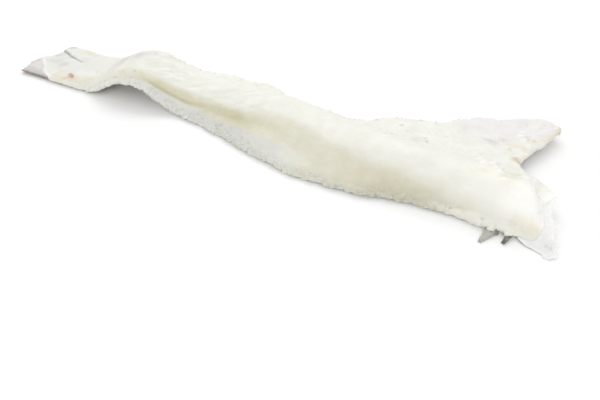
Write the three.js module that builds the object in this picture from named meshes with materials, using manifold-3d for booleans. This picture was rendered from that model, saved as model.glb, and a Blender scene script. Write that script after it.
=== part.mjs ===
// A split salted dried cod, lying flesh side up: head off, backbone out, tail fin on, dried stiff
// with an arch at the tail root, and coarse salt caught along its edges.
// Millimetres, +Z up. X runs from the tail fin to the head end, Y from the near flap to the far one.
// The skin side rests on Z = 0, with the origin under the middle of the fish.
import * as THREE from "three";
import { mergeVertices } from "three/addons/utils/BufferGeometryUtils.js";
import Module from "manifold-3d";

const wasm = await Module();
wasm.setup();

// ---------------------------------------------------------------- the lines of the fish
// Each line gives a size at a few places along X, and a smooth curve joins them.

const NEAR_EDGE = [
  [-276, -24], [-178, -28], [-80, -28], [-10, -45], [60, -63], [98, -62.5], [122, -57.5], [150, -56],
  [185, -57.5], [212, -61], [226, -66],
];
const FAR_EDGE = [
  [-276, 47], [-228, 40], [-170, 29], [-110, 31], [-50, 40], [-20, 40], [0, 30], [18, 25], [40, 28],
  [62, 22.5], [78, 27], [92, 39], [122, 47], [135, 50], [150, 66], [205, 92], [226, 96],
];
const CREASE = [ // between the near flap and the loin, out to the near edge where the flap ends
  [-276, -14], [-180, -18], [-135, -20.5], [-104, -19.5], [-60, -16.5], [-30, -20.5], [0, -27],
  [38, -42], [78, -59], [185, -55], [212, -61], [226, -66],
];
const CREASE_DEPTH = [[-190, 0], [-140, 2.2], [-60, 3], [0, 1.5], [40, 0], [226, 0]];
const CREST = [[-276, 12], [-180, 15], [-130, 12], [-60, 9], [0, 4], [60, -15], [110, -28], [226, -40]];
const CREST_HEIGHT = [
  [-276, 4], [-228, 7.5], [-182, 18], [-150, 17], [-116, 18.5], [-85, 21], [-60, 22], [0, 24],
  [110, 27], [226, 26],
];
const BACK_WIDTH = [[-276, 34], [-150, 16], [-60, 24], [60, 36], [226, 48]]; // from the crest to the flat
const FAR_HEIGHT = [
  [-276, 4], [-228, 6.5], [-140, 12], [-106, 9.5], [-72, 16.5], [-45, 14.5], [-14, 14], [60, 10], [226, 11],
];
const FAR_THICKNESS = [[-276, 2.4], [-200, 5], [-100, 8], [0, 8], [100, 6], [226, 4]];

// The two ends, as X against the share of the width from the near edge: two lobes of the tail fin, and
// a V between two shoulder tips.
const TAIL_EDGE = [[0, -272], [0.38, -281], [0.72, -274], [0.92, -280], [1, -275]];
const HEAD_CUT = [
  [0, 223], [0.1, 226], [0.17, 220], [0.25, 220], [0.3, 224], [0.35, 212], [0.42, 201], [0.485, 195],
  [0.6, 203], [0.8, 216], [1, 228],
];
const SKIN_OVERHANG = { length: 12, nearHeight: 3.5, height: 12, thickness: 3 }; // past the end of the loin

const NEAR_HEIGHT = 4.5; // top of the near flap at its edge
const NEAR_THICKNESS = 3.5;
const FLAP_HEIGHT = [ // beside the crease
  [-276, 4], [-225, 4.5], [-180, 9], [-100, 10], [-40, 13], [0, 13], [40, 10.5], [70, 7], [226, 6],
];
const FIN_HEIGHT = 4;
const FIN_THICKNESS = 2.4;

const ARCH = { x: -128, height: 18.5, halfSpan: 60 }; // the tail root stands clear of the table
const PRESSED_FLAT = 0.4; // skin that would stand lower than this lies on the table
const EDGE_ROUNDING = { depth: 1.6, width: 4 };
const TAIL_ROOT_X = -215; // where the fin's rays start, and where its underside starts to come down
const TAIL_RAYS = { count: 14, depth: 0.45 };
const LUMPS = { height: 0.8, shoulderHeight: 1.6, length: 14, width: 9 };

const FIN_STUBS = [ // dried stubs of the belly fins, showing from under the near edge
  { x: 188, y: -58, length: 17.5, width: 5, turn: -104 },
  { x: 198.5, y: -57, length: 14, width: 6, turn: -98 },
];

const SALT = { edgeGrains: 34, creaseGrains: 9, shoulderGrains: 12, smallest: 1.8, largest: 3.6 };

const CELLS = { along: 92, across: 24 };

// ---------------------------------------------------------------- small mathematics

const clamp01 = (t) => Math.min(1, Math.max(0, t));
const mix = (a, b, t) => a + (b - a) * t;
const smooth = (t) => clamp01(t) ** 2 * (3 - 2 * clamp01(t));
const quarterWave = (t) => Math.sin((Math.PI / 2) * t);
const hill = (t) => Math.cos((Math.PI / 2) * Math.min(1, Math.abs(t))) ** 2;

// The slope of a line at its point i: the harmonic mean of the slopes on its two sides.
function slopeAt(line, i) {
  if (i === 0 || i === line.length - 1) return 0;
  const slope = (a, b) => (b[1] - a[1]) / (b[0] - a[0]);
  const before = slope(line[i - 1], line[i]);
  const after = slope(line[i], line[i + 1]);
  return before * after > 0 ? (2 * before * after) / (before + after) : 0;
}

// A smooth curve through a line's points, with no overshoot between them.
function at(line, x) {
  const i = line.findIndex((point) => point[0] > x);
  if (i === 0) return line[0][1];
  if (i < 0) return line[line.length - 1][1];
  const [x0, y0] = line[i - 1];
  const [x1, y1] = line[i];
  const t = (x - x0) / (x1 - x0);
  const start = slopeAt(line, i - 1) * (x1 - x0);
  const end = slopeAt(line, i) * (x1 - x0);
  return mix(y0, y1, smooth(t)) + start * t * (1 - t) ** 2 - end * t * t * (1 - t);
}

// A fixed pseudo-random number from 0 to 1 for each i, j and seed.
function random(i, j, seed) {
  const n = Math.sin(i * 127.1 + j * 311.7 + seed * 74.7) * 43758.5453;
  return n - Math.floor(n);
}

// Smooth noise from -1 to 1, with one random value for each unit square.
function noise(x, y, seed) {
  const i = Math.floor(x);
  const j = Math.floor(y);
  const low = mix(random(i, j, seed), random(i + 1, j, seed), smooth(x - i));
  const high = mix(random(i, j + 1, seed), random(i + 1, j + 1, seed), smooth(x - i));
  return 2 * mix(low, high, smooth(y - j)) - 1;
}

// ---------------------------------------------------------------- the form of the fish

// The plan: a place along the fish (u) and across it (v), both 0 to 1, as X and Y.
function plan(u, v) {
  const head = at(HEAD_CUT, v) + 1.5 * noise(v * 26, 0, 5);
  const x = mix(at(TAIL_EDGE, v), head, u);
  const near = at(NEAR_EDGE, x) + 1.2 * Math.sin(Math.PI * u) * noise(x / 6, 0, 3);
  const far = at(FAR_EDGE, x) + 1.3 * noise(x / 7, 4, 7);
  return { x, y: mix(near, far, v), v, near, far, head };
}

const lift = (x) => ARCH.height * hill((x - ARCH.x) / ARCH.halfSpan);

// How much of the body's own section there is at X: none in the tail fin, all of it past the tail root.
const bodyShare = (x) => smooth((x + 245) / 60);

// Rays that fan out over the tail fin, deepest at its rear edge.
const tailRays = (x, v) =>
  TAIL_RAYS.depth * Math.cos(2 * Math.PI * TAIL_RAYS.count * v) * smooth((TAIL_ROOT_X - x) / 45);

// The bare skin past the loin's end curls up from the table towards the middle of the fish.
const skinHeight = (v) => mix(SKIN_OVERHANG.nearHeight, SKIN_OVERHANG.height, smooth(v / 0.3));

// The flesh side: the near flap, the crease, the rounded loin, and the far flap it falls away to.
function topHeight({ x, y, v, near, far, head }) {
  const crease = Math.max(at(CREASE, x), near + 2);
  const crest = at(CREST, x);
  const flapHeight = at(FLAP_HEIGHT, x);
  const crestHeight = at(CREST_HEIGHT, x);
  let z;
  if (y < crease) {
    z = mix(NEAR_HEIGHT, flapHeight, quarterWave((y - near) / (crease - near)));
  } else if (y < crest) {
    z = mix(flapHeight, crestHeight, quarterWave((y - crease) / (crest - crease)));
  } else {
    z = mix(at(FAR_HEIGHT, x), crestHeight, hill((y - crest) / at(BACK_WIDTH, x)));
  }
  z -= at(CREASE_DEPTH, x) * hill((y - crease - 1) / 5);
  const shoulder = smooth((x - 70) / 60) * smooth((y - crest - 25) / 30);
  const lumps = mix(LUMPS.height, LUMPS.shoulderHeight, shoulder) * bodyShare(x);
  z += lumps * noise(x / LUMPS.length, y / LUMPS.width, 11);
  const loinEnd = head - SKIN_OVERHANG.length * smooth((0.38 - v) / 0.08);
  z = mix(skinHeight(v), z, smooth((loinEnd + 6 - x) / 14));
  const fromEdge = Math.min(y - near, far - y);
  return z - EDGE_ROUNDING.depth * hill(fromEdge / EDGE_ROUNDING.width) * bodyShare(x) + tailRays(x, v);
}

// The skin side: flat on the table under the loin, clear of it under the tail fin, and turning up
// towards both edges.
function bottomHeight({ x, y, v, near, far, head }) {
  const finRise = (FIN_HEIGHT - FIN_THICKNESS) * (1 - smooth((x - TAIL_ROOT_X) / 50));
  const nearRise = NEAR_HEIGHT - NEAR_THICKNESS;
  const headRise = (skinHeight(v) - SKIN_OVERHANG.thickness) * smooth((x - head + SKIN_OVERHANG.length) / 10);
  const farRise = at(FAR_HEIGHT, x) - at(FAR_THICKNESS, x);
  const flat = Math.min(at(CREST, x) + 8, far - 6);
  const shoulderWidth = Math.min(far - flat, 55);
  return Math.max(
    finRise,
    nearRise * smooth((near + 16 - y) / 16),
    farRise * smooth((y - flat) / shoulderWidth),
    headRise * smooth((0.42 - v) / 0.06),
  );
}

// The body and the tail fin: a box of cells whose upper and lower faces are moved to the two sides.
function bodyGeometry() {
  const box = new THREE.BoxGeometry(1, 1, 1, CELLS.along, CELLS.across, 1);
  const position = box.getAttribute("position");
  for (let i = 0; i < position.count; i++) {
    const across = position.getY(i) + 0.5;
    const v = mix(across, 0.5 - 0.5 * Math.cos(Math.PI * across), 0.55); // finer near both edges
    const place = plan(position.getX(i) + 0.5, v);
    const z = lift(place.x) + (position.getZ(i) > 0 ? topHeight(place) : bottomHeight(place));
    position.setXYZ(i, place.x, place.y, z < PRESSED_FLAT ? 0 : z);
  }
  return box;
}

// A point of the flesh side, found by its X and its share of the width.
function onFlesh(x, v) {
  const head = at(HEAD_CUT, v);
  const near = at(NEAR_EDGE, x);
  const far = at(FAR_EDGE, x);
  const place = { x, y: mix(near, far, v), v, near, far, head };
  return new THREE.Vector3(x, place.y, lift(x) + topHeight(place));
}

// One dried fin stub: a thin blade that tapers to a blunt tip, just clear of the table.
function finStub({ x, y, length, width, turn }) {
  return new THREE.CylinderGeometry(width * 0.25, width * 0.5, length, 8)
    .rotateZ(-Math.PI / 2)
    .translate(length / 2 - 2, 0, 0)
    .scale(1, 1, 0.45)
    .rotateZ(THREE.MathUtils.degToRad(turn))
    .translate(x, y, width * 0.225 + 0.5);
}

// One salt grain: a worn cube, turned every way, sunk a third of its size into what it lies on.
function saltGrain(place, n) {
  const size = mix(SALT.smallest, SALT.largest, random(n, 1, 21) ** 2);
  return new THREE.BoxGeometry(size, size * mix(0.6, 0.9, random(n, 2, 21)), size * 0.7)
    .rotateX(random(n, 3, 21) * 1.2)
    .rotateZ(random(n, 4, 21) * Math.PI)
    .translate(place.x, place.y, place.z);
}

function saltGrains() {
  const places = [];
  for (let n = 0; n < SALT.edgeGrains; n++) {
    const x = mix(-180, 215, (n + random(n, 0, 31)) / SALT.edgeGrains);
    places.push(onFlesh(x, n % 3 === 0 ? 0.97 : 0.05));
  }
  for (let n = 0; n < SALT.creaseGrains; n++) {
    const x = mix(-110, 20, (n + random(n, 0, 32)) / SALT.creaseGrains);
    const v = (at(CREASE, x) - at(NEAR_EDGE, x)) / (at(FAR_EDGE, x) - at(NEAR_EDGE, x));
    places.push(onFlesh(x, v - 0.04 * random(n, 1, 32)));
  }
  for (let n = 0; n < SALT.shoulderGrains; n++) {
    places.push(onFlesh(mix(90, 185, random(n, 0, 33)), mix(0.55, 0.95, random(n, 1, 33))));
  }
  return places.map(saltGrain);
}

// ---------------------------------------------------------------- solids

function solidOf(geometry) {
  geometry.deleteAttribute("normal");
  geometry.deleteAttribute("uv");
  const merged = mergeVertices(geometry, 1e-3);
  return new wasm.Manifold(
    new wasm.Mesh({
      numProp: 3,
      vertProperties: merged.getAttribute("position").array,
      triVerts: new Uint32Array(merged.index.array),
    }),
  );
}

function geometryOf(solid) {
  const mesh = solid.getMesh();
  return new THREE.BufferGeometry()
    .setAttribute("position", new THREE.BufferAttribute(mesh.vertProperties, 3))
    .setIndex(new THREE.BufferAttribute(mesh.triVerts, 1));
}

const pieces = [bodyGeometry(), ...FIN_STUBS.map(finStub), ...saltGrains()];
const geometry = geometryOf(wasm.Manifold.union(pieces.map(solidOf)));
geometry.computeBoundingBox();
const middle = geometry.boundingBox.getCenter(new THREE.Vector3());
geometry.translate(-middle.x, -middle.y, -geometry.boundingBox.min.z);

const flesh = new THREE.MeshStandardMaterial({ color: 0xefeee4, roughness: 0.75, metalness: 0 });
const cod = new THREE.Mesh(geometry, flesh);
cod.name = "cod";

const group = new THREE.Group();
group.add(cod);

export default group;
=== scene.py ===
"""A split salted dried cod: flesh, skin, tail fin, fin stubs, dried film, torn flakes, fibres and salt."""

import math

import bpy
import numpy as np
from mathutils import Matrix, Vector, noise


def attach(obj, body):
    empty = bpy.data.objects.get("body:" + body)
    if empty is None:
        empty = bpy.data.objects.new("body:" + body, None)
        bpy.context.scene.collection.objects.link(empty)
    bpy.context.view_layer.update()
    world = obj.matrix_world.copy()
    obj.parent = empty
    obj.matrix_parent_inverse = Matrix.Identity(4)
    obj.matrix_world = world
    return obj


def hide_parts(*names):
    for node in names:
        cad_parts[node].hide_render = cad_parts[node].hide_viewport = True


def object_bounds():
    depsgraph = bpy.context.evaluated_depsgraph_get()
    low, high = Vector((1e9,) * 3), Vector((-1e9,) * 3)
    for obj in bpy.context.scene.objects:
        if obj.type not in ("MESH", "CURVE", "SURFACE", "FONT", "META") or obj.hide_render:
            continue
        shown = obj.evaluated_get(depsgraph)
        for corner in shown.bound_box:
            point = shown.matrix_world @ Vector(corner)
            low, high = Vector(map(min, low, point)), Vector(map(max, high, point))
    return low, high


bl_info = {
    "name": "Salted dried cod",
    "version": (1, 0, 0),
    "blender": (4, 5, 0),
    "location": "3D View > Sidebar > Salt cod",
    "description": "Dresses a split salted cod with flesh, skin, fins and salt, and lights it",
    "category": "Object",
}

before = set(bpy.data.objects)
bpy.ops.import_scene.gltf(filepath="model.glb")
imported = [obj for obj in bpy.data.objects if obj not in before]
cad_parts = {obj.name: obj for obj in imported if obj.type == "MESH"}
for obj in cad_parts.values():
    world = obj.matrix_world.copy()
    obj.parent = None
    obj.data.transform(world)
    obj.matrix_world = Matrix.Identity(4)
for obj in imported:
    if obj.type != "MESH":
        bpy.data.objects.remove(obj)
CAD_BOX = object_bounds()
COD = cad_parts["cod"]
MM = 0.001
TAIL_X = CAD_BOX[0].x / MM
HEAD_X = CAD_BOX[1].x / MM
TAIL_ROOT_X = -0.14  # metres
SKIN_CELL, FIN_CELL = 0.0017, 0.0007  # metres between the points of the skin and of the tail fin
OUT_X, OUT_Y = 270, 99  # millimetres: past every edge of the fish
CUT_LOW, CUT_HIGH = -5, 60  # millimetres: a cut runs from below the fish to above it
TORN_STEP = 2.0  # millimetres between the corners of a torn edge
FLESH_LOW, LOOSE_LOW, FILM_LOW = 0.1, 0.05, 0.35  # millimetres over the floor that points are kept at
WEIGHT_STEPS = 32  # a vertex group's weights are rounded to these
TAIL_RAYS = 26  # across the whole width of the tail fin
FLAKES_SEED, FIBRES_SEED, SALT_SEED = 11, 12, 13

# ---------------------------------------------------------------- the lines of the fish
# All in millimetres, seen from above. X runs from the tail to the head end, Y from the near flap to
# the far one.

CREASE = [  # the bottom of the groove between the near flap and the loin
    (-250, -27), (-165, -32), (-148, -29), (-129, -31), (-110, -33), (-90, -31.5), (-77, -31), (-68, -30),
    (-53, -29.2), (-40, -29.8), (-25, -31.3), (-8, -34), (8, -37), (26, -41.5), (64, -54), (104, -71),
    (252, -80),
]
CREASE_TOP = [  # the olive band along the groove, partly painted shade, from this line down to the next
    (-175, -28), (-145, -26), (-123, -29), (-104, -28.5), (-90, -27), (-80, -26), (-65, -23.5), (-50, -22.5),
    (-30, -25), (-12, -27), (4, -29.5), (20, -31), (40, -35), (60, -43), (100, -66),
]
CREASE_LOW = [
    (-175, -36), (-145, -34), (-123, -37), (-104, -36), (-90, -33.2), (-80, -32.6), (-65, -32), (-50, -31.2),
    (-30, -35), (-12, -41.5), (4, -44.5), (20, -47), (40, -51), (60, -57), (80, -64), (100, -72),
]
CREST = [(-250, 0), (-154, 3), (-104, 0), (-34, -3), (26, -8), (86, -27), (136, -40), (252, -52)]
FACE_TOP = [  # below this line the loin's face is straw coloured and darkened by painted shade
    (20, -24), (38, -30), (51, -30), (63, -34.5), (74, -40.5), (94, -49.5), (113, -53.5), (130, -57),
    (161, -59), (175, -59.5), (190, -62), (204, -63), (218, -65), (232, -67.5), (252, -70),
]
FACE_STREAK = [(173, -66.4), (194.7, -67.9), (221, -66.9)]
PAINTED_LIGHT_TOP = [  # the part of the loin's face and end that is lightened with painted light
    (125, -36), (180, -36), (196, -32), (206, -38), (216, -54), (225, -48), (236, -33), (252, -20),
]
FIN_EDGE = [  # where the flesh stops on the tail fin
    (-262, 0), (-253, -5.5), (-242.5, -13.3), (-233.8, -19.8), (-227.5, -27.7), (-215.4, -33.3),
    (-203.8, -37.6), (-200, -45),
]
TAIL_SLIT = [
    (-258, 24), (-248.8, 21.1), (-239, 17.1), (-226.1, 10.6), (-216.7, 7.0), (-209.5, 4), (-198, -0.8),
]
TAIL_TEAR = [(-252, 29.5), (-247, 31.5), (-243, 33.5)]
SHOULDER_TIP = [
    (234, 80), (239, 78), (244.3, 75.5), (247.6, 72), (248, 67), (245.4, 56), (241.8, 44), (238.5, 34),
]
NOTCH_EDGE = [(239.5, 48), (243.5, 56), (246.5, 66), (246.5, 69)]
LOIN_END = [
    (226, -96), (231, -80), (237, -73), (241.5, -67), (244.5, -57), (244.5, -43), (245.5, -35), (253, -22),
    (266, -20),
]
FILM_ROOT = [(-82, 246), (-79, 243), (-75.5, 234), (-72, 229), (-66, 235), (-23, 235)]  # Y, X
FILM_EDGE = [
    (-82, 249), (-77, 252), (-66, 253), (-56, 252), (-52, 249), (-43, 248.5), (-32, 248.5), (-23, 242),
]
STUB_LINE = [(196, -72.5), (211, -73), (226, -73.5), (238, -76)]  # where the belly fins leave the near edge
FIN_STUBS = [  # X, Y, length, width at the root and at the tip, heading
    (213.8, -70.3, 17, 7.2, 4.5, -105), (213.8, -75, 5.5, 2.2, 1.6, 35), (225.4, -69.8, 10.5, 4.4, 2.6, -110),
]

# How strong a tint is along the fish: X and a share.
# The crease band is partly olive flesh and partly painted shade in the crease.
CREASE_TINT_AND_SHADE = [
    (-180, 0.15), (-164, 0.4), (-145, 0.3), (-123, 0.55), (-104, 0.6), (-90, 0.7), (-78, 1), (-66, 1),
    (-30, 0.9), (-10, 1), (10, 0.95), (25, 0.8), (40, 0.6), (60, 0),
]
# The face's straw tint is partly yellowed flesh and partly painted shade.
FACE_TINT_AND_SHADE = [
    (10, 0), (25, 0.5), (60, 0.62), (100, 0.66), (118, 0.78), (134, 0.9), (147, 1), (156, 0.88), (165, 0.7),
    (192, 0.5), (206, 0.32), (219, 0.2), (233, 0.2), (242, 0.1),
]
# The flap's cool grey-white is partly its own colour and partly painted shade.
FLAP_TINT_AND_SHADE = [
    (-160, 0), (-130, 0.3), (-105, 0.7), (-85, 0.9), (-70, 1), (20, 1), (50, 0.8), (75, 0.7), (95, 0),
]
# Low on the loin's face: partly grey-green flesh, partly painted shade, darker towards the near edge.
LOW_FACE_SHADE_TINT = [(0, 0.3), (25, 0.4), (70, 0.35), (95, 0.55), (130, 0.5), (165, 0.35), (195, 0.1), (210, 0)]
EDGE_SALT = [
    (-215, 0), (-195, 0.3), (-150, 0.6), (-95, 0.6), (-60, 0.3), (-20, 0.2), (20, 0), (185, 0), (205, 0.6),
]
# Painted light: how much the loin's face and end are lightened along the fish.
PAINTED_LIGHT_TINT = [
    (125, 0), (150, 0.05), (185, 0.12), (196, 0.35), (210, 0.4), (218, 0.9), (224, 0.9), (236, 1), (246, 1),
]
NEAR_PUSH = [  # X, and how far the near rim is moved out, in millimetres
    (-215, 0), (-205, 1.6), (-170, 1.4), (-120, 1.2), (190, 1.2), (199, 1.6), (206, 3.2), (212, 1.6),
    (225, 1), (238, 0),
]

# Marks: X, Y, radius, and a share if it isn't 1.
BLOOD_SPOT = [
    (-191.5, -24.2, 2.4), (-189, -25.6, 3), (-186.4, -26.4, 2.6), (-184.6, -28.4, 3.2), (-182.4, -28.8, 2.2),
    (-188.2, -29.4, 2, 0.5),
]
BLOOD_HALO = [
    (-188, -31, 9, 0.9), (-185, -30, 8), (-180, -31, 8, 0.9), (-174, -33.5, 6, 0.6), (-204, -17, 14, 0.15),
]
YELLOW_PATCHES_AND_SHADOWS = [
    (-200, -32, 10), (-193, -33, 9), (-205, -24, 10, 0.7), (-193, -37, 8), (-167, -35, 5), (-163, -33, 5),
    (-158.5, -30, 4),
    (-219, 26, 8), (-210, 24, 8), (-200, 20, 6), (215, 24, 7), (224, 11, 5, 0.5), (224, 23, 9, 0.6),
    (229, 38, 9, 0.7), (236, 42, 6, 0.6), (213, 16, 4), (211, 32, 8, 0.4), (217, -42, 9, 0.7),
    # (212, -46), (199, -44.5) and (194, -48) are painted shadow under the white torn edge above them.
    (223, -30, 8, 0.5), (212, -46, 5, 0.8), (199, -44.5, 6, 0.5), (194, -48, 7, 0.35), (218, -12, 6, 0.4),
    (226, -67, 6, 0.6), (230, -68.5, 8, 0.7), (235, -68, 8, 0.8), (239, -66, 6, 0.8),
]
PALE_PATCHES = [(-179, -23, 10, 0.5), (-170, -24.5, 9, 0.5), (-162, -25, 10, 0.5), (-211, -26, 6, 0.5)]
STAINS = [(218, 4.5, 5, 0.8), (220.3, 2, 4, 0.8), (247.2, 69, 2.5)]
GREY_MARKS = [
    (195, 26, 4), (198, 24.5, 5), (202, 22, 8), (207, 27, 8), (151.9, 4, 2.5), (154.7, -0.5, 2.5),
    (123, -4.7, 3), (127.4, -1.7, 3), (130.5, -0.8, 3), (178, 34, 9, 0.3), (186.4, 38, 6, 0.6),
    (212, -37, 3), (-241, 10, 14), (-232, -3, 15), (-216, -10, 12), (-225, 8, 9), (-203, 4, 9), (-194, 0, 8),
    # The four wide marks from (-132, -12) to (-82, 4) are painted shade that greys the top of the hump.
    (-132, -12, 20), (-110, -10, 16), (-97, -5, 18, 0.8), (-82, 4, 14, 0.6), (-5, -46, 5), (-12, -41, 4),
    (20, -52.3, 4), (9.7, -47.6, 4), (221, -36, 8), (148, 2, 9), (218, 66, 12, 0.4), (-192, -34, 9, 0.5),
]
PITS = [
    (-158, -20, 1.6), (-149, -22.4, 1.8), (-141, -20.3, 1.4), (-115, -29, 1.6), (-101, -28.5, 1.6),
    (-29.3, -38.9, 1.6), (22.9, -54.3, 1.8), (30.2, -57.6, 1.8), (225, 40, 1.8), (228.8, 38.4, 2.2),
    (129.6, 16, 2.4), (152, 5, 2.8), (154, 1.5, 2.4),
]
KNOBS = [
    (195, -12, 5), (198, -15.7, 5), (198, -26, 5), (202.4, -22, 5.5), (204.5, -14, 5), (206.3, -32, 5),
    (209.2, -40.7, 5), (212.6, -50, 4), (225, -38.4, 5.5), (230.5, -34.5, 6), (218.3, 41.7, 5),
    (222.4, 36, 5), (226, 27, 5.5), (219.7, 49.3, 4), (222.5, 45, 4),
]


# ---------------------------------------------------------------- small helpers

def linear(red, green, blue):
    """A colour given as 0 to 255 on screen, as the linear numbers that Blender's sockets take."""
    def one(c):
        c /= 255
        return c / 12.92 if c <= 0.04045 else ((c + 0.055) / 1.055) ** 2.4
    return (one(red), one(green), one(blue))


def line_at(line, x):
    """The line's Y, or its share, at each X."""
    return np.interp(x, [p[0] for p in line], [p[1] for p in line])


def distance_to(line, x, y):
    """How far each X and Y is from a line of points."""
    nearest = np.full(len(x), np.inf)
    for (x0, y0), (x1, y1) in zip(line, line[1:]):
        length = (x1 - x0) ** 2 + (y1 - y0) ** 2
        t = np.clip(((x - x0) * (x1 - x0) + (y - y0) * (y1 - y0)) / length, 0, 1)
        nearest = np.minimum(nearest, np.hypot(x - x0 - t * (x1 - x0), y - y0 - t * (y1 - y0)))
    return nearest


def smooth(low, high, value):
    """0 below low and 1 above high, with a soft step between them."""
    t = np.clip((value - low) / (high - low), 0, 1)
    return t * t * (3 - 2 * t)


def fade(low, high, value):
    """1 below low and 0 above high, with a soft step between them."""
    return 1 - smooth(low, high, value)


def marks_at(marks, x, y):
    """1, or its share, at the middle of each mark, fading to 0 at its radius."""
    shades = []
    for mark_x, mark_y, radius, *share in marks:
        shades.append(sum(share or [1]) * fade(0, radius, np.hypot(x - mark_x, y - mark_y)))
    return np.maximum.reduce(shades)


def noise_at(x, y, z):
    """Noise at each place. Each coordinate is an array or one number."""
    return np.array([noise.noise(place) for place in np.broadcast(x, y, z)])


def torn(line, reach, seed):
    """A line with a point at every step, each pushed off it by up to reach, as a torn edge runs."""
    corners = np.array(line, float)
    along = np.concatenate([[0], np.cumsum(np.hypot(*np.diff(corners, axis=0).T))])
    places = np.linspace(0, along[-1], int(along[-1] / TORN_STEP) + 2)
    push = reach * (noise_at(places / 3, seed, 0) + 0.8 * noise_at(places / 9, seed, 5))
    x, y = (np.interp(places, along, values) + push for values in corners.T)
    return list(zip(x, y))


def deselect_all():
    if bpy.context.object and bpy.context.object.mode != "OBJECT":
        end_edit()
    bpy.ops.object.select_all(action="DESELECT")


def edit_all():
    """Opens the active piece for editing, with all of it selected."""
    bpy.ops.object.mode_set(mode="EDIT")
    bpy.ops.mesh.select_all(action="SELECT")


def end_edit():
    bpy.ops.object.mode_set(mode="OBJECT")


def extrude(step):
    bpy.ops.mesh.extrude_region_move(TRANSFORM_OT_translate={"value": step})


def close_form():
    """Turns all faces outward and ends the editing."""
    bpy.ops.mesh.select_all(action="SELECT")
    bpy.ops.mesh.normals_make_consistent(inside=False)
    end_edit()


def new_object(name, data):
    piece = bpy.data.objects.new(name, data)
    bpy.context.scene.collection.objects.link(piece)
    return piece


def pick(piece):
    deselect_all()
    piece.select_set(True)
    bpy.context.view_layer.objects.active = piece


def add(piece, name, kind, **settings):
    """Gives the piece a modifier."""
    modifier = piece.modifiers.new(name, kind)
    for key, value in settings.items():
        setattr(modifier, key, value)


def settle(piece, passes, where=""):
    """Smooths the piece, or only a vertex group of it, when its modifiers are applied."""
    add(piece, "settle", "SMOOTH", factor=0.5, iterations=passes, vertex_group=where)


def apply_all(piece):
    pick(piece)
    for modifier in list(piece.modifiers):
        bpy.ops.object.modifier_apply(modifier=modifier.name)


def points(piece):
    """The piece's vertices as an array of X, Y and Z in millimetres."""
    co = np.zeros(len(piece.data.vertices) * 3, np.float32)
    piece.data.vertices.foreach_get("co", co)
    return co.reshape(-1, 3).astype(float) / MM


def put_points(piece, co):
    piece.data.vertices.foreach_set("co", (co * MM).astype(np.float32).ravel())
    piece.data.update()


def facing(piece):
    """The direction that the surface faces at each vertex."""
    n = np.zeros(len(piece.data.vertices) * 3, np.float32)
    piece.data.vertex_normals.foreach_get("vector", n)
    return n.reshape(-1, 3).astype(float)


def store(piece, name, values):
    """Keeps a number from 0 to 1 for each vertex, for the piece's material to read."""
    attribute = piece.data.attributes.new(name, "FLOAT", "POINT")
    attribute.data.foreach_set("value", np.clip(values, 0, 1).astype(np.float32))


def finish_piece(piece, material):
    """Shades the piece, gives it its material and lets it stand on the frame in the solid's place."""
    pick(piece)
    bpy.ops.object.shade_smooth()
    piece.data.materials.clear()
    piece.data.materials.append(material)
    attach(piece, "root")
    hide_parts("cod")


def solid_copy(name):
    """The frame's solid as a new piece, with its loose triangles merged."""
    piece = new_object(name, COD.data.copy())
    pick(piece)
    edit_all()
    bpy.ops.mesh.remove_doubles(threshold=0.00001)
    end_edit()
    return piece


def edges_of_fish():
    """The near and far edge of the fish as lines, measured on the solid without its fin stubs."""
    co = points(COD)
    near, far = [], []
    for x in np.arange(TAIL_X + 3, HEAD_X, 4):
        lowest = line_at(STUB_LINE, x) - 12 * (x < STUB_LINE[0][0]) - 6 * (x > STUB_LINE[-1][0])
        y = co[(np.abs(co[:, 0] - x) < 4) & (co[:, 1] > lowest), 1]
        near.append((x, y.min()))
        far.append((x, y.max()))
    return near, far


NEAR_EDGE, FAR_EDGE = edges_of_fish()


def plan_of(piece):
    """X and Y of each vertex, and the Y of the fish's near and far edge beside it."""
    x, y = points(piece)[:, :2].T
    return x, y, line_at(NEAR_EDGE, x), line_at(FAR_EDGE, x)


def even_out(piece, cell, passes):
    """Rebuilds the piece from even cells and lets its edges settle."""
    add(piece, "even", "REMESH", mode="VOXEL", voxel_size=cell)
    settle(piece, passes)
    apply_all(piece)


# ---------------------------------------------------------------- roughening a surface

def weigh(piece, name, values):
    """A vertex group with one weight for each vertex."""
    group = piece.vertex_groups.new(name=name)
    steps = np.round(np.clip(values, 0, 1) * WEIGHT_STEPS).astype(int)
    for step in range(1, WEIGHT_STEPS + 1):
        group.add(np.nonzero(steps == step)[0].tolist(), step / WEIGHT_STEPS, "REPLACE")


def roughen(piece, where, height, size, stretch=1, turn=0, kind="CLOUDS", **settings):
    """Moves the surface in and out by a pattern of this height and size, stretched along a heading."""
    texture = bpy.data.textures.new("pattern", kind)
    texture.noise_scale = size * MM
    for key, value in settings.items():
        setattr(texture, key, value)
    guide = new_object("pattern guide", None)
    guide.scale = (stretch, 1, 1)
    guide.rotation_euler.z = math.radians(turn)
    bpy.context.view_layer.update()
    add(piece, "roughen", "DISPLACE", texture=texture, texture_coords="OBJECT", texture_coords_object=guide,
        strength=height * MM, mid_level=0.5, vertex_group=where)
    apply_all(piece)
    bpy.data.objects.remove(guide)
    bpy.data.textures.remove(texture)


def proudness(piece, passes):
    """How far each vertex stands out from the smoothed surface: positive on ridges, negative in hollows."""
    rough = points(piece)
    settle(piece, passes)
    smoothed = piece.evaluated_get(bpy.context.evaluated_depsgraph_get())
    gap = ((rough - points(smoothed)) * facing(smoothed)).sum(1)
    piece.modifiers.clear()
    return gap


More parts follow.
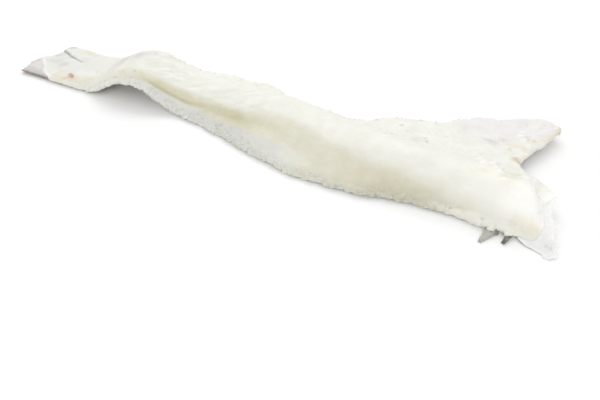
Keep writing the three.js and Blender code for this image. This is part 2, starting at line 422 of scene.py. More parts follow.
def cut_away(piece, *corners):
    """Cuts an upright prism with these corners, seen from above, from the piece."""
    deselect_all()
    bpy.ops.mesh.primitive_circle_add(vertices=len(corners), radius=0.01, fill_type="NGON")
    cutter = bpy.context.object
    put_points(cutter, np.array([(x, y, CUT_LOW) for x, y in corners]))
    edit_all()
    extrude((0, 0, (CUT_HIGH - CUT_LOW) * MM))
    close_form()
    add(piece, "cut", "BOOLEAN", object=cutter, operation="DIFFERENCE", solver="EXACT")
    apply_all(piece)
    bpy.data.objects.remove(cutter)


def trim(piece):
    """Cuts the torn loin end and shoulder tip, and takes the fin stubs off, as flesh and skin both need."""
    cut_away(piece, *torn(LOIN_END, 1.4, seed=2), (OUT_X, -OUT_Y))
    cut_away(piece, *STUB_LINE, (STUB_LINE[-1][0], -OUT_Y), (STUB_LINE[0][0], -OUT_Y))
    cut_away(piece, *torn(SHOULDER_TIP, 0.8, seed=3), (OUT_X, 34), (OUT_X, OUT_Y), (234, OUT_Y))


# ---------------------------------------------------------------- shader building

def put(tree, kind, inputs=(), **settings):
    """Adds a shader node. A value in inputs that is a socket is linked, and any other is set."""
    node = tree.nodes.new(kind)
    for name, value in settings.items():
        setattr(node, name, value)
    for key, value in dict(inputs).items():
        if isinstance(value, bpy.types.NodeSocket):
            tree.links.new(value, node.inputs[key])
        else:
            node.inputs[key].default_value = value
    return node


def blend(tree, share, low, high):
    """Mixes two colours by a share from 0 to 1."""
    low = low if isinstance(low, bpy.types.NodeSocket) else (*low, 1)
    high = high if isinstance(high, bpy.types.NodeSocket) else (*high, 1)
    return put(tree, "ShaderNodeMix", {0: share, 6: low, 7: high}, data_type="RGBA").outputs[2]


def sums(tree, operation, a, b):
    return put(tree, "ShaderNodeMath", {0: a, 1: b}, operation=operation).outputs[0]


def times(tree, a, b):
    return sums(tree, "MULTIPLY", a, b)


def ramp(tree, value, low, high, to_low=0.0, to_high=1.0):
    """Maps low to high onto to_low to to_high, with a soft start and end."""
    inputs = {0: value, 1: low, 2: high, 3: to_low, 4: to_high}
    return put(tree, "ShaderNodeMapRange", inputs, interpolation_type="SMOOTHSTEP").outputs[0]


def between(tree, share, low, high):
    """A number that goes from low to high as the share goes from 0 to 1."""
    return ramp(tree, share, 0, 1, low, high)


def marked(tree, name):
    """A number that the piece keeps for each vertex."""
    return put(tree, "ShaderNodeAttribute", attribute_name=name).outputs["Fac"]


def place_of(tree):
    return put(tree, "ShaderNodeTexCoord").outputs["Object"]


def stretched(tree, length, width, turn):
    """Object coordinates in units of a pattern's own length and width, in metres, at a heading."""
    scale = put(tree, "ShaderNodeCombineXYZ", {0: length, 1: width, 2: width}).outputs[0]
    inputs = {"Vector": place_of(tree), "Rotation": (0, 0, math.radians(turn)), "Scale": scale}
    return put(tree, "ShaderNodeMapping", inputs, vector_type="TEXTURE").outputs[0]


def new_group(name, inputs, outputs):
    """A shader node group with plain number sockets. Returns it with its input and output nodes."""
    group = bpy.data.node_groups.new(name, "ShaderNodeTree")
    for socket_name, default in inputs.items():
        socket = group.interface.new_socket(socket_name, in_out="INPUT", socket_type="NodeSocketFloat")
        socket.default_value = default
    for socket_name in outputs:
        group.interface.new_socket(socket_name, in_out="OUTPUT", socket_type="NodeSocketFloat")
    return group, put(group, "NodeGroupInput"), put(group, "NodeGroupOutput")


def grain_group():
    """Grain: fibres that run with the fish, soft cloudy patches, and the height that both give."""
    if "Grain" in bpy.data.node_groups:
        return bpy.data.node_groups["Grain"]
    inputs = {"Fibre length": 0.018, "Fibre width": 0.0013, "Patch size": 0.012}
    group, start, end = new_group("Grain", inputs, ("Fibres", "Patches", "Height"))
    along = stretched(group, start.outputs["Fibre length"], start.outputs["Fibre width"], -10)
    fibres = put(group, "ShaderNodeTexNoise", {"Vector": along, "Scale": 1.0, "Detail": 5.0}).outputs["Fac"]
    scale = sums(group, "DIVIDE", 1.0, start.outputs["Patch size"])
    inputs = {"Vector": place_of(group), "Scale": scale, "Detail": 6.0, "Roughness": 0.62}
    patches = put(group, "ShaderNodeTexNoise", inputs).outputs["Fac"]
    group.links.new(ramp(group, fibres, 0.32, 0.68), end.inputs["Fibres"])
    group.links.new(ramp(group, patches, 0.34, 0.66), end.inputs["Patches"])
    height = sums(group, "ADD", times(group, fibres, 0.6), times(group, patches, 0.5))
    group.links.new(height, end.inputs["Height"])
    return group


def crust_group():
    """Salt crust: fine bright grains, thick in some patches and thin in others."""
    if "Salt crust" in bpy.data.node_groups:
        return bpy.data.node_groups["Salt crust"]
    inputs = {"Grain size": 0.0011, "Cover": 0.5}
    group, start, end = new_group("Salt crust", inputs, ("Grains",))
    scale = sums(group, "DIVIDE", 1.0, start.outputs["Grain size"])
    cells = put(group, "ShaderNodeTexVoronoi", {"Vector": place_of(group), "Scale": scale})
    inputs = {"Vector": place_of(group), "Scale": 190.0, "Detail": 4.0}
    spread = put(group, "ShaderNodeTexNoise", inputs).outputs["Fac"]
    edge = sums(group, "SUBTRACT", 0.85, times(group, start.outputs["Cover"], 0.6))
    share = ramp(group, spread, sums(group, "SUBTRACT", edge, 0.12), sums(group, "ADD", edge, 0.04))
    grains = times(group, ramp(group, cells.outputs["Distance"], 0.55, 0.2), share)
    group.links.new(grains, end.inputs["Grains"])
    return group


def grain_of(tree, length, width, patch):
    """The material's own grain: Fibres, Patches and Height, from three sizes in millimetres."""
    inputs = {"Fibre length": length * MM, "Fibre width": width * MM, "Patch size": patch * MM}
    return put(tree, "ShaderNodeGroup", inputs, node_tree=grain_group()).outputs


def crust_of(tree, cover):
    """The material's own salt crust, from how much of the surface it covers."""
    return put(tree, "ShaderNodeGroup", {"Cover": cover}, node_tree=crust_group()).outputs["Grains"]


def new_material(name, shine, glow=0.0, glow_colour=(1.0, 1.0, 1.0), depth=0.0):
    """A material, its tree and its shader. Glow is the light inside, to a depth in millimetres."""
    material = bpy.data.materials.new(name)
    material.use_nodes = True
    tree = material.node_tree
    tree.nodes.clear()
    inputs = {
        "Specular IOR Level": shine, "Subsurface Weight": glow, "Subsurface Radius": glow_colour,
        "Subsurface Scale": depth * MM,
    }
    shader = put(tree, "ShaderNodeBsdfPrincipled", inputs)
    put(tree, "ShaderNodeOutputMaterial", {"Surface": shader.outputs[0]})
    return material, tree, shader


def layered(tree, colour, *layers):
    """Lays tints over a colour. Each layer is a share from 0 to 1 and its tint."""
    for share, tint in layers:
        colour = blend(tree, share, colour, tint)
    return colour


def dress(tree, shader, colour, roughness, height, distance):
    """Links colour, roughness and relief to the shader, the relief at a distance in millimetres.

    Roughness is a pattern, with the roughness where it is 0 and where it is 1."""
    relief = put(tree, "ShaderNodeBump", {"Height": height, "Distance": distance * MM})
    tree.links.new(colour, shader.inputs["Base Color"])
    tree.links.new(between(tree, *roughness), shader.inputs["Roughness"])
    tree.links.new(relief.outputs[0], shader.inputs["Normal"])


# ---------------------------------------------------------------- materials

def flesh_material(c):
    """Dried flesh. Each layer is the name of a mask, the least of it that shows, and its colour."""
    material, tree, shader = new_material("dried flesh", 0.35, 0.3, (1.0, 0.8, 0.55), 4)
    grain = grain_of(tree, 18, 1.3, 12)
    patches = grain["Patches"]
    colour = blend(tree, patches, c.cream, c.cream_deep)
    # pale paints light; face, low, flap, crease, groove, hollow, pit, grey on the hump and part of yellow
    # paint shade.
    layers = [
        ("tail", 0.85, c.tail), ("pale", 0.8, c.pale), ("face", 0.85, c.straw_and_shade), ("low", 0.85, c.low),
        ("flap", 0.8, c.flap), ("shoulder", 0.6, c.membrane), ("crease", 0.85, c.crease),
        ("groove_shade", 0.75, c.groove_shade), ("streak", 0.6, c.cream), ("hollow_shade", 0.7, c.hollow_shade),
        ("yellow", 0.5, c.yellowed_and_shadow), ("grey", 0.4, c.grey_mark), ("halo", 0.6, c.halo),
        ("stain", 0.4, c.stain), ("shaded_pit", 0.7, c.shaded_pit), ("blood", 0.7, c.blood), ("slit", 0.8, c.slit),
        ("white", 0.7, c.salt),
    ]
    for mask, least, tint in layers:
        share = times(tree, marked(tree, mask), between(tree, patches, least, 1.0))
        colour = blend(tree, share, colour, tint)
    streaks = times(tree, grain["Fibres"], between(tree, marked(tree, "face"), 0.05, 0.2))
    salt = times(tree, crust_of(tree, 0.5), between(tree, marked(tree, "crust"), 0.03, 0.5))
    colour = layered(tree, colour, (streaks, c.straw_and_shade), (salt, c.salt))
    height = sums(tree, "ADD", grain["Height"], times(tree, salt, 0.5))
    dress(tree, shader, colour, (patches, 0.5, 0.7), height, 0.18)
    return material


def skin_material(c):
    material, tree, shader = new_material("dried skin", 0.4, 0.1, (1.0, 0.8, 0.6), 2)
    grain = grain_of(tree, 6, 2.4, 9)
    scales = put(tree, "ShaderNodeTexVoronoi", {"Vector": stretched(tree, 0.0026, 0.0017, -6), "Scale": 1.0})
    scale_edge = times(tree, ramp(tree, scales.outputs["Distance"], 0.25, 0.6), 0.5)
    colour = layered(
        tree, blend(tree, grain["Patches"], c.skin_dark, c.skin_mid), (scale_edge, c.skin_dark),
        (marked(tree, "belly"), c.skin_pale), (marked(tree, "lateral"), c.skin_pale),
        (marked(tree, "dark"), c.fin_dark), (times(tree, crust_of(tree, 0.4), 0.55), c.salt))
    height = sums(tree, "SUBTRACT", grain["Height"], scale_edge)
    dress(tree, shader, colour, (grain["Patches"], 0.42, 0.6), height, 0.4)
    return material


def fin_material(name, dark, pale, c):
    """Rays and webbing: the attribute ray runs over the rays, and the attribute dark shades the fin."""
    material, tree, shader = new_material(name, 0.45, 0.15, (1.0, 0.8, 0.6), 2)
    grain = grain_of(tree, 12, 0.8, 6)
    colour = layered(
        tree, blend(tree, marked(tree, "dark"), pale, dark), (times(tree, grain["Fibres"], 0.2), c.skin_mid),
        (times(tree, marked(tree, "ray"), 0.35), c.membrane),
        (times(tree, crust_of(tree, 0.35), 0.3), c.salt))
    dress(tree, shader, colour, (grain["Patches"], 0.4, 0.6), grain["Height"], 0.2)
    return material


def film_material(c):
    """Thin dried film that lets some of the ground through, most of all at its edges."""
    material, tree, shader = new_material("dried film", 0.5, 0.4, (1.0, 0.9, 0.8), 3)
    grain = grain_of(tree, 10, 1.6, 7)
    colour = blend(tree, grain["Patches"], c.film, c.pale)
    colour = blend(tree, marked(tree, "dark"), colour, c.grey_mark)
    alpha = times(tree, marked(tree, "cover"), between(tree, grain["Patches"], 0.95, 1.0))
    tree.links.new(alpha, shader.inputs["Alpha"])
    dress(tree, shader, colour, (grain["Fibres"], 0.4, 0.6), grain["Height"], 0.06)
    return material


def torn_material(c):
    """Torn flesh on the loose flakes and fibres. The attribute shade differs from copy to copy."""
    material, tree, shader = new_material("torn flesh", 0.35, 0.5, (1.0, 0.85, 0.6), 3)
    grain = grain_of(tree, 6, 0.6, 4)
    colour = blend(tree, marked(tree, "shade"), c.salt, c.cream_deep)
    colour = blend(tree, times(tree, grain["Fibres"], 0.2), colour, c.straw_and_shade)
    dress(tree, shader, colour, (grain["Patches"], 0.45, 0.65), grain["Height"], 0.2)
    return material


def salt_material(c):
    material, tree, shader = new_material("sea salt", 0.5, 0.6, (1.0, 1.0, 1.0), 1.5)
    grain = grain_of(tree, 1, 1, 1.5)
    colour = blend(tree, marked(tree, "shade"), c.salt, c.cream)
    dress(tree, shader, colour, (grain["Patches"], 0.3, 0.5), grain["Height"], 0.1)
    return material


# ---------------------------------------------------------------- sizes and colours

def a_colour(name, description, red, green, blue):
    return bpy.props.FloatVectorProperty(
        name=name, description=description, subtype="COLOR", size=3, min=0, max=1,
        default=linear(red, green, blue))


def a_length(name, description, millimetres):
    return bpy.props.FloatProperty(
        name=name, description=description, unit="LENGTH", min=0, precision=5, default=millimetres * MM)


def a_count(name, description, count):
    return bpy.props.IntProperty(name=name, description=description, min=0, default=count)


class CodSizes(bpy.types.PropertyGroup):
    cell: a_length("Cell", "Distance between the points of the flesh surface", 1.1)
    skin: a_length("Skin", "Thickness of the skin under the flesh", 0.8)
    fin: a_length("Fin", "How far the bare tail fin lies below the flesh beside it", 0.9)
    film: a_length("Film", "Thickness of the dried film past the loin", 0.4)
    ripple: a_length("Ripples", "Height of the ripples on the hump", 2.4)
    crumble: a_length("Crumble", "Height of the rough cut on the near flap", 1.5)
    flakes: a_count("Flakes", "Loose flakes of torn flesh", 80)
    fibres: a_count("Fibres", "Frayed fibres along the edges", 520)
    crystals: a_count("Crystals", "Crystals of salt", 700)
    crystal: a_length("Crystal size", "Size of a usual salt crystal", 0.6)


class CodColours(bpy.types.PropertyGroup):
    cream: a_colour("Cream", "Usual dried flesh", 234, 234, 227)
    cream_deep: a_colour("Deep cream", "Darker patches of the flesh", 229, 229, 219)
    # Also painted light on the loin's face and end; the film uses it as a paler tone.
    pale: a_colour("Pale", "Palest flesh, at the end of the loin", 252, 251, 246)
    tail: a_colour("Tail", "Thin flesh on the tail", 226, 226, 221)
    # Partly painted shade on the loin's front face.
    straw_and_shade: a_colour("Straw", "The loin's face where it is deepest in colour", 208, 203, 180)
    # Partly painted shade, low on the loin's face.
    low: a_colour("Low face", "Grey-green flesh low on the loin's face", 200, 200, 186)
    # Partly painted shade on the near flap.
    flap: a_colour("Flap", "Cool grey-white of the cut near flap", 207, 207, 201)
    # Painted shade in the hollows between ripples.
    hollow_shade: a_colour("Hollow", "Grey of the hollows between ripples", 220, 220, 212)
    membrane: a_colour("Membrane", "Lilac-grey lining of the shoulder", 229, 226, 226)
    # Also painted shadow under the torn edge near the head end.
    yellowed_and_shadow: a_colour("Yellowed", "Edges gone yellow in drying", 222, 213, 182)
    # Partly painted shade in the crease.
    crease: a_colour("Crease", "Olive band along the backbone crease", 208, 204, 176)
    # Painted shade in the groove, and darker low on the loin's face.
    groove_shade: a_colour("Groove", "Deepest line of the crease", 190, 185, 158)
    # Also painted shade on the top of the hump.
    grey_mark: a_colour("Grey mark", "Blue-grey marks of the lining", 200, 197, 196)
    stain: a_colour("Stain", "Brown-pink stains near the collar", 196, 170, 146)
    # Painted shade at the bottom of pits.
    shaded_pit: a_colour("Pit", "Bottom of pits", 178, 170, 146)
    slit: a_colour("Slit", "Shade in the tail's slit", 160, 161, 158)
    halo: a_colour("Blood halo", "Orange-pink tint round the blood spot", 220, 196, 170)
    blood: a_colour("Blood spot", "Dried blood spot at the tail root", 124, 88, 52)
    skin_dark: a_colour("Dark skin", "Back skin", 132, 124, 112)
    skin_mid: a_colour("Skin", "Mottling of the skin", 170, 163, 148)
    skin_pale: a_colour("Pale skin", "Belly skin and the lateral line", 220, 216, 204)
    # On the tail fin it also carries painted shade near the near edge.
    fin_dark: a_colour("Dark fin", "Bare purple-brown fin and skin edge", 140, 128, 120)
    fin_pale: a_colour("Pale fin", "Lilac-grey part of the tail fin", 218, 214, 211)
    stub: a_colour("Fin stub", "Grey-green belly fin stubs", 86, 86, 74)
    stub_pale: a_colour("Pale stub", "Pale webbing of the belly fin stubs", 176, 177, 165)
    film: a_colour("Film", "Dried film past the loin", 250, 249, 246)
    salt: a_colour("Salt", "Salt grains and crust", 242, 242, 238)


class CodStage(bpy.types.PropertyGroup):
    floor: a_colour("Floor", "Plain pale floor", 246, 246, 246)
    room: bpy.props.FloatProperty(
        name="Room light", description="Strength of the soft room light", default=0.8)
    back: bpy.props.FloatProperty(
        name="Back light", description="Power of the softbox behind", default=10, unit="POWER")
    front: bpy.props.FloatProperty(
        name="Front light", description="Power of the softbox in front", default=6, unit="POWER")


# ---------------------------------------------------------------- the flesh

def flesh_masks(piece):
    """Where each kind of flesh lies, as numbers from 0 to 1 for each vertex."""
    x, y, near, far = plan_of(piece)
    up = facing(piece)[:, 2]
    band_top, band_low = line_at(CREASE_TOP, x), line_at(CREASE_LOW, x)
    edge = np.minimum(y - near, far - y)
    top = smooth(-0.2, 0.2, up)
    tail = fade(-190, -120, x)
    shoulder = smooth(90, 150, x) * smooth(18, 40, y - line_at(CREST, x))
    flap = smooth(-150, -110, x) * fade(50, 95, x) * smooth(-5, 1, band_low - y) * smooth(-0.6, 0, up)
    band = smooth(-4, 3, band_top - y) * smooth(-3, 3, y - band_low) * top
    below = y - line_at(FACE_TOP, x)
    # Straw tint and painted shade on the loin's front face.
    face = fade(-5, 5, below) * smooth(-0.5, 0, up) * (1 - flap) * (1 - band * fade(20, 50, x))
    wide = 2.8 + 4.2 * smooth(-60, -10, x)
    # Painted shade along the bottom of the groove.
    groove_shade = smooth(-95, -80, x) * fade(10, 40, x) * fade(0, wide, np.abs(y - line_at(CREASE, x)))
    # Darker low on the loin's front face.
    darker_low_face = face * fade(3, 9, y - near) * smooth(118, 140, x) * fade(172, 190, x)
    near_rim, near_salt = fade(0.5, 4, y - near), line_at(EDGE_SALT, x)
    notch = smooth(216, 238, x) * (0.2 + 0.8 * smooth(-15, 10, y))
    # Painted light on the loin's face and end, strongest towards the head end.
    pale = smooth(-2, 5, below) * fade(-10, 14, y - line_at(PAINTED_LIGHT_TOP, x)) * line_at(PAINTED_LIGHT_TINT, x)
    torn_notch = 0.7 * fade(0.5, 4, distance_to(NOTCH_EDGE, x, y))
    valley = smooth(-150, -110, x) * fade(60, 100, x) * fade(5, 11, np.abs(y - band_low))
    return {
        "top": top * (1 - 0.6 * tail),
        "inner": smooth(4, 9, edge) * top,
        "valley": valley * top,
        "loin": smooth(-60, -20, x) * (1 - shoulder) * (1 - flap) * top,
        "hump": smooth(-110, -80, x) * fade(5, 40, x) * smooth(-2, 6, y - band_top) * top,
        "rim": fade(1.5, 5, edge) * smooth(-195, -150, x) * (1 - 0.6 * smooth(185, 200, x)),
        "near": near_rim,
        "head": notch,
        "knob": marks_at(KNOBS, x, y) * top,
        "lining": shoulder * top,
        "tail": tail * top,
        # Painted light on the loin's face and end, and paler patches near the tail root.
        "pale": np.maximum(pale, 0.7 * marks_at(PALE_PATCHES, x, y)) * top,
        # Cool grey flesh and painted shade on the near flap.
        "flap": flap * line_at(FLAP_TINT_AND_SHADE, x),
        "shoulder": smooth(160, 182, x) * smooth(5, 42, y) * top,
        # Straw tint and painted shade on the loin's front face.
        "face": face * line_at(FACE_TINT_AND_SHADE, x),
        # Grey-green tint and painted shade, darker towards the near edge.
        "low": fade(1.5, 8, y - near) * line_at(LOW_FACE_SHADE_TINT, x),
        "streak": 0.5 * fade(0.4, 1.6, distance_to(FACE_STREAK, x, y)),
        # Olive tint and painted shade along the crease.
        "crease": band * line_at(CREASE_TINT_AND_SHADE, x),
        # Painted shade in the groove, and darker low on the loin's face.
        "groove_shade": np.maximum(groove_shade * top, 0.5 * darker_low_face),
        "crust": np.maximum.reduce([
            fade(1, 6, far - y), 0.5 * near_rim * near_salt, 0.06 * flap, 0.4 * notch]) * (1 - 0.7 * tail),
        # Yellowed edges, and painted shadow under the torn edge near the head end.
        "yellow": np.maximum(0.8 * marks_at(YELLOW_PATCHES_AND_SHADOWS, x, y), torn_notch),
        "stain": marks_at(STAINS, x, y) * top,
        # Blue-grey marks, and painted shade on the hump's top.
        "grey": 0.7 * marks_at(GREY_MARKS, x, y) * top,
        # Painted shade at the bottom of the pits; the same mask also sinks them.
        "shaded_pit": 0.6 * marks_at(PITS, x, y) * top,
        "halo": marks_at(BLOOD_HALO, x, y) * top,
        "blood": marks_at(BLOOD_SPOT, x, y) ** 0.8 * top,
        "slit": fade(0.8, 2.2, np.minimum(
            distance_to(TAIL_SLIT, x, y) + 0.03 * (x + 235), distance_to(TAIL_TEAR, x, y))) * top,
        # Salt and white torn lumps, and a painted highlight along the flesh's edge on the tail fin.
        "white": np.maximum.reduce([
            fade(1.5, 5, distance_to(FIN_EDGE, x, y)) * fade(-212, -198, x),
            marks_at(KNOBS, x, y), 0.6 * near_rim * near_salt,
        ]) * top,
    }


class Maker:
    """What the operators share: each can be undone."""
    bl_options = {"REGISTER", "UNDO"}


class COD_OT_flesh(Maker, bpy.types.Operator):
    """Make the dried flesh from the frame's solid and roughen it like torn, salted fish"""
    bl_idname = "cod.flesh"
    bl_label = "Flesh"

    def execute(self, context):
        sizes = context.scene.cod_sizes
        piece = solid_copy("flesh")
        cut_away(piece, *torn(FIN_EDGE, 0.8, seed=1), (-200, -60), (-275, -60), (-275, 0))
        trim(piece)
        even_out(piece, sizes.cell, 11)
        masks = flesh_masks(piece)
        for name in ("top", "inner", "valley", "loin", "hump", "flap", "lining", "tail", "rim", "head"):
            weigh(piece, name, masks[name])
        settle(piece, 30, "inner")
        settle(piece, 90, "valley")
        apply_all(piece)
        crumble = sizes.crumble / MM
        roughen(piece, "loin", 1.0, 17, stretch=2.4, turn=-10)
        roughen(piece, "loin", 0.25, 2.6, stretch=12, turn=-12, noise_depth=1)
        roughen(piece, "hump", sizes.ripple / MM, 5.0, stretch=4.2, turn=26, noise_depth=1)
        roughen(piece, "flap", crumble, 9.0, noise_depth=2)
        roughen(piece, "flap", crumble * 0.2, 5.0, kind="VORONOI")
        roughen(piece, "lining", 2.0, 16)
        roughen(piece, "lining", 0.3, 7, kind="VORONOI")
        roughen(piece, "head", 1.8, 8.0)
        roughen(piece, "rim", 3.8, 2.8, noise_depth=2)
        roughen(piece, "tail", 0.4, 3.0, stretch=7, turn=-6)
        roughen(piece, "top", 0.35, 3.0, noise_depth=3)
        co, up = points(piece), facing(piece)
        depth = 0.7 * masks["groove_shade"] + 0.8 * masks["shaded_pit"] + 0.9 * masks["slit"]
        depth -= 2.0 * masks["knob"] + line_at(NEAR_PUSH, co[:, 0]) * masks["near"]
        co -= up * depth[:, None]
        co[:, 2] += fade(0, 4, co[:, 2]) * sizes.skin / MM
        co[:, 2] = np.maximum(co[:, 2], FLESH_LOW)
        put_points(piece, co)
        proud = proudness(piece, 30)
        piece.vertex_groups.clear()
        masks = flesh_masks(piece)
        # Painted shade in hollows: darker where the surface lies below its smoothed self.
        masks["hollow_shade"] = smooth(0.2, 1.2, -proud) * masks["top"]
        for name in ("top", "inner", "valley", "loin", "hump", "rim", "near", "head", "knob", "lining"):
            del masks[name]
        for name, values in masks.items():
            store(piece, name, values)
        finish_piece(piece, flesh_material(context.scene.cod_colours))
        return {"FINISHED"}


class COD_OT_skin(Maker, bpy.types.Operator):
    """Make the skin that backs the flesh, with its torn edge"""
    bl_idname = "cod.skin"
    bl_label = "Skin"

    def execute(self, context):
        piece = solid_copy("skin")
        trim(piece)
        even_out(piece, SKIN_CELL, 10)
        for face in piece.data.polygons:
            ragged = 0.2 * noise.noise(face.center * 160)
            on_tail = 0.3 if face.center.x < TAIL_ROOT_X else 0
            face.select = face.normal.z > ragged - 0.25 - on_tail
        pick(piece)
        bpy.ops.object.mode_set(mode="EDIT")
        bpy.ops.mesh.select_mode(type="FACE")
        bpy.ops.mesh.delete(type="FACE")
        bpy.ops.mesh.select_all(action="SELECT")
        bpy.ops.mesh.vertices_smooth(factor=0.5, repeat=2)
        end_edit()
        add(piece, "thickness", "SOLIDIFY", thickness=context.scene.cod_sizes.skin, offset=-1)
        apply_all(piece)
        x, y, near, far = plan_of(piece)
        across = (y - near) / (far - near)
        store(piece, "belly", np.maximum(fade(0.02, 0.3, across), smooth(0.8, 1.0, across)))
        store(piece, "lateral", 0.8 * fade(0.6, 1.8, np.abs(y - line_at(CREST, x) - 2)))
        store(piece, "dark", fade(-185, -150, x) * fade(2, 7, y - near))
        finish_piece(piece, skin_material(context.scene.cod_colours))
        return {"FINISHED"}


# ---------------------------------------------------------------- the fins

class COD_OT_tail_fin(Maker, bpy.types.Operator):
    """Make the tail fin: rays and webbing that show bare at its near corner"""
    bl_idname = "cod.tail_fin"
    bl_label = "Tail fin"

    def execute(self, context):
        piece = solid_copy("tail_fin")
        under_flesh = [(x + 4, y + 4.5) for x, y in FIN_EDGE]
        rest_of_fish = [(-190, -OUT_Y), (OUT_X, -OUT_Y), (OUT_X, OUT_Y), (-OUT_X, OUT_Y), (-OUT_X, 8)]
        cut_away(piece, *under_flesh, *rest_of_fish)
        even_out(piece, FIN_CELL, 4)
        co, top = points(piece), smooth(0, 0.5, facing(piece)[:, 2])
        x, y, near, far = plan_of(piece)
        across = (y - near) / (far - near)
        ray = 0.5 + 0.5 * np.cos(2 * np.pi * TAIL_RAYS * across)
        co[:, 2] -= top * (context.scene.cod_sizes.fin / MM + 0.9 * smooth(-215, -195, x))
        co[:, 2] += top * 0.25 * (ray - 0.5) * fade(-225, -200, x)
        frayed = np.abs(noise_at(across * TAIL_RAYS, 3, 0)) + 0.3 * ray
        co[:, 0] += (2.5 * frayed * smooth(0.1, 0.35, across) - 1.5) * fade(-255, -238, x)
        put_points(piece, co)
        store(piece, "ray", ray * top)
        # Darker toward the near edge: partly the bare purple-brown fin, partly painted shade.
        store(piece, "dark", np.maximum(0.35 * fade(4, 14, y - near), fade(0.5, 4.5, y - near)))
        c = context.scene.cod_colours
        finish_piece(piece, fin_material("tail fin", c.fin_dark, c.fin_pale, c))
        return {"FINISHED"}


class COD_OT_fin_stubs(Maker, bpy.types.Operator):
    """Make the dried stubs of the belly fins that show from under the near edge"""
    bl_idname = "cod.fin_stubs"
    bl_label = "Fin stubs"

    def execute(self, context):
        stubs = []
        for x, y, length, root, tip, heading in FIN_STUBS:
            deselect_all()
            bpy.ops.mesh.primitive_cube_add(size=1)
            stub = context.object
            edit_all()
            bpy.ops.mesh.subdivide(number_cuts=14)
            end_edit()
            along, side, high = (points(stub) * MM * [1, 2, 2] + [0.5, 0, 0]).T
            ray = np.cos(side * np.pi * 3.5)
            wide = root + (tip - root) * along ** 0.7
            slant = 0.25 * (1 + side) * (root > 7) + 0.25 * noise_at(side * 2.2, x / 9, 0)
            reach = length * along * (1 - 0.1 * side ** 2 - slant * along)
            thick = 0.9 * (1 - 0.5 * along) * np.sqrt(np.clip(1.02 - side ** 2, 0, 1)) * (0.94 + 0.06 * ray)
            droop = 2.4 - 1.6 * along + 0.4 * side
            turn = math.radians(heading)
            forward = np.stack([np.cos(turn) * reach, np.sin(turn) * reach], 1)
            aside = np.outer(side * wide * 0.5, [-np.sin(turn), np.cos(turn)])
            plan = np.array([x, y]) + forward + aside
            put_points(stub, np.column_stack([plan, np.maximum(LOOSE_LOW, droop + high * thick)]))
            shade = 0.1 if root > 7 else 0.5 if root < 4 else 1
            store(stub, "ray", (0.3 + 0.3 * ray) * (1 - shade))
            store(stub, "dark", np.maximum(0.7 * fade(0.1, 0.4, along), shade + 0.2 * smooth(0.6, 1, along)))
            stubs.append(stub)
        deselect_all()
        for stub in stubs:
            stub.select_set(True)
        context.view_layer.objects.active = stubs[0]
        bpy.ops.object.join()
        piece = context.object
        piece.name = "fin_stubs"
        add(piece, "soften", "SUBSURF", levels=1, render_levels=1)
        apply_all(piece)
        c = context.scene.cod_colours
        finish_piece(piece, fin_material("fin stub", c.stub, c.stub_pale, c))
        return {"FINISHED"}


class COD_OT_film(Maker, bpy.types.Operator):
    """Make the thin dried film that curls up past the end of the loin"""
    bl_idname = "cod.film"
    bl_label = "Film"

    def execute(self, context):
        deselect_all()
        bpy.ops.mesh.primitive_grid_add(x_subdivisions=36, y_subdivisions=110, size=1)
        piece = context.object
        piece.name = "film"
        out, along = (points(piece)[:, :2] * MM + 0.5).T
        y = FILM_EDGE[0][0] + (FILM_EDGE[-1][0] - FILM_EDGE[0][0]) * along
        ragged = noise_at(y / 4, 0, 9) + 0.6 * noise_at(y / 1.6, 0, 4)
        start = line_at(FILM_ROOT, y) + ragged
        x = start + (line_at(FILM_EDGE, y) + 1.2 * ragged - start) * out
        height = 0.4 + 9.8 * smooth(0, 0.64, along) + 0.6 * smooth(0.5, 1, out)
        wrinkle = 0.6 * noise_at(x / 9, y / 5, 2) + 0.15 * noise_at(x / 3, y / 2, 7)
        z = height + wrinkle * (0.4 + 0.6 * out)
        put_points(piece, np.column_stack([x, y, np.maximum(z, FILM_LOW)]))
        add(piece, "thickness", "SOLIDIFY", thickness=context.scene.cod_sizes.film, offset=0)
        apply_all(piece)
        x, y = points(piece)[:, :2].T
        raised = smooth(-80, -68, y)
        thin = smooth(240, 251, x) * raised
        rim = fade(2, 5, line_at(FILM_EDGE, y) - x)
        store(piece, "cover", (1 - 0.6 * thin) * (1 - rim * raised))
        store(piece, "dark", 0.5 * marks_at([(245.5, -72.5, 2), (248, -73.5, 2.5)], x, y))
        finish_piece(piece, film_material(context.scene.cod_colours))
        return {"FINISHED"}


# ---------------------------------------------------------------- flakes, fibres and salt

def model_of(piece):
    """A modelled shape as plain points, in its own units, and faces. Its object is removed."""
    shape = points(piece) * MM
    faces = [list(face.vertices) for face in piece.data.polygons]
    bpy.data.objects.remove(piece)
    return shape, faces


def axes_on(up, ahead, tilt):
    """Axes for copies that stand on a surface: ahead along it, raised by a tilt, then aside and up."""
    ahead = ahead - (ahead * up).sum(1, keepdims=True) * up
    ahead /= np.linalg.norm(ahead, axis=1, keepdims=True) + 1e-9
    aside = np.cross(up, ahead)
    cosine, sine = np.cos(tilt)[:, None], np.sin(tilt)[:, None]
    return np.stack([ahead * cosine + up * sine, aside, up * cosine - ahead * sine], axis=2)


def scatter(name, models, centres, axes, sizes, rng, material):
    """Joins copies of the models into one piece, each at its centre, along its axes and at its size."""
    shapes, faces, shades = [], [], []
    start = 0
    for i in range(len(centres)):
        shape, model_faces = models[i % len(models)]
        shapes.append((shape * sizes[i]) @ axes[i].T + centres[i])
        faces += [[corner + start for corner in face] for face in model_faces]
        shades += [rng.random()] * len(shape)
        start += len(shape)
    mesh = bpy.data.meshes.new(name)
    co = np.concatenate(shapes)
    co[:, 2] = np.maximum(co[:, 2], LOOSE_LOW)
    mesh.from_pydata(co * MM, [], faces)
    piece = new_object(name, mesh)
    store(piece, "shade", np.array(shades))
    finish_piece(piece, material)


